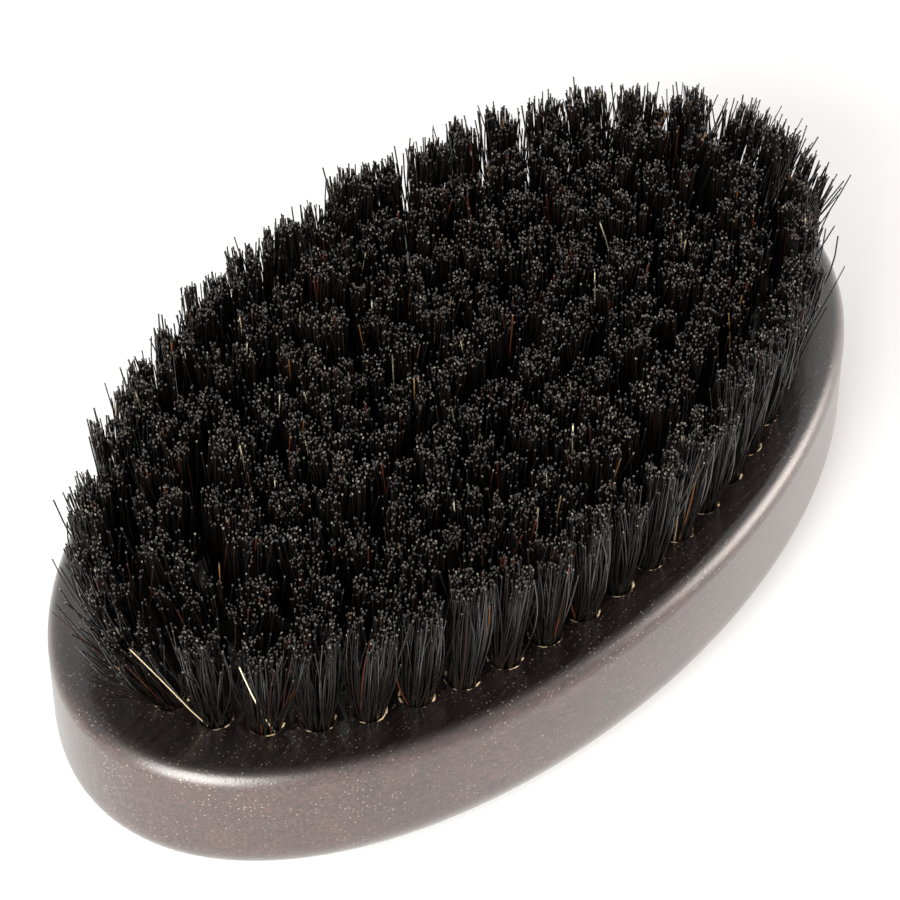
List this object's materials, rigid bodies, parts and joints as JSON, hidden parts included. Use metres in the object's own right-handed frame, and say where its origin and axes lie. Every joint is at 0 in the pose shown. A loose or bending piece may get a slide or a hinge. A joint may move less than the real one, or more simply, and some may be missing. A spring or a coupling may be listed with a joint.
{
  "type": "beard brush",
  "caption": "Palm-held oval beard brush: a lacquered dark hardwood back with rounded edges, set with rings of black boar bristle tufts",
  "frame": {"origin": "middle of the flat on the back that the brush rests on, below the middle of the oval", "axes": "+Z from the back out through the bristles; +X along the oval's length; +Y across it"},
  "size_m": [0.115, 0.0658, 0.0311],
  "materials": {
    "wood": "dark stained hardwood under a satin lacquer",
    "bristle": "natural black boar bristle, cut level",
    "anchor_wire": "galvanised flat wire"
  },
  "bodies": {
    "root": {"wood_back": "wood", "outer_tuft_01": "bristle", "outer_tuft_02": "bristle", "outer_tuft_03": "bristle", "outer_tuft_04": "bristle", "outer_tuft_05": "bristle", "outer_tuft_06": "bristle", "outer_tuft_07": "bristle", "outer_tuft_08": "bristle", "outer_tuft_09": "bristle", "outer_tuft_10": "bristle", "outer_tuft_11": "bristle", "outer_tuft_12": "bristle", "outer_tuft_13": "bristle", "outer_tuft_14": "bristle", "outer_tuft_15": "bristle", "outer_tuft_16": "bristle", "outer_tuft_17": "bristle", "outer_tuft_18": "bristle", "outer_tuft_19": "bristle", "outer_tuft_20": "bristle", "outer_tuft_21": "bristle", "outer_tuft_22": "bristle", "outer_tuft_23": "bristle", "outer_tuft_24": "bristle", "outer_tuft_25": "bristle", "outer_tuft_26": "bristle", "outer_tuft_27": "bristle", "outer_tuft_28": "bristle", "outer_tuft_29": "bristle", "outer_tuft_30": "bristle", "outer_tuft_31": "bristle", "outer_tuft_32": "bristle", "outer_tuft_33": "bristle", "outer_tuft_34": "bristle", "outer_tuft_35": "bristle", "outer_tuft_36": "bristle", "outer_tuft_37": "bristle", "outer_tuft_38": "bristle", "outer_tuft_39": "bristle", "outer_tuft_40": "bristle", "outer_tuft_41": "bristle", "outer_tuft_42": "bristle", "outer_tuft_43": "bristle", "outer_tuft_44": "bristle", "outer_tuft_45": "bristle", "outer_tuft_46": "bristle", "second_tuft_ring": "bristle", "third_tuft_ring": "bristle", "inner_tuft_ring": "bristle", "centre_tuft_row": "bristle", "centre_anchor_1": "anchor_wire", "centre_anchor_2": "anchor_wire", "centre_anchor_3": "anchor_wire", "centre_anchor_4": "anchor_wire", "centre_anchor_5": "anchor_wire", "centre_anchor_6": "anchor_wire", "centre_anchor_7": "anchor_wire", "centre_anchor_8": "anchor_wire", "centre_anchor_9": "anchor_wire"}
  },
  "joints": []
}
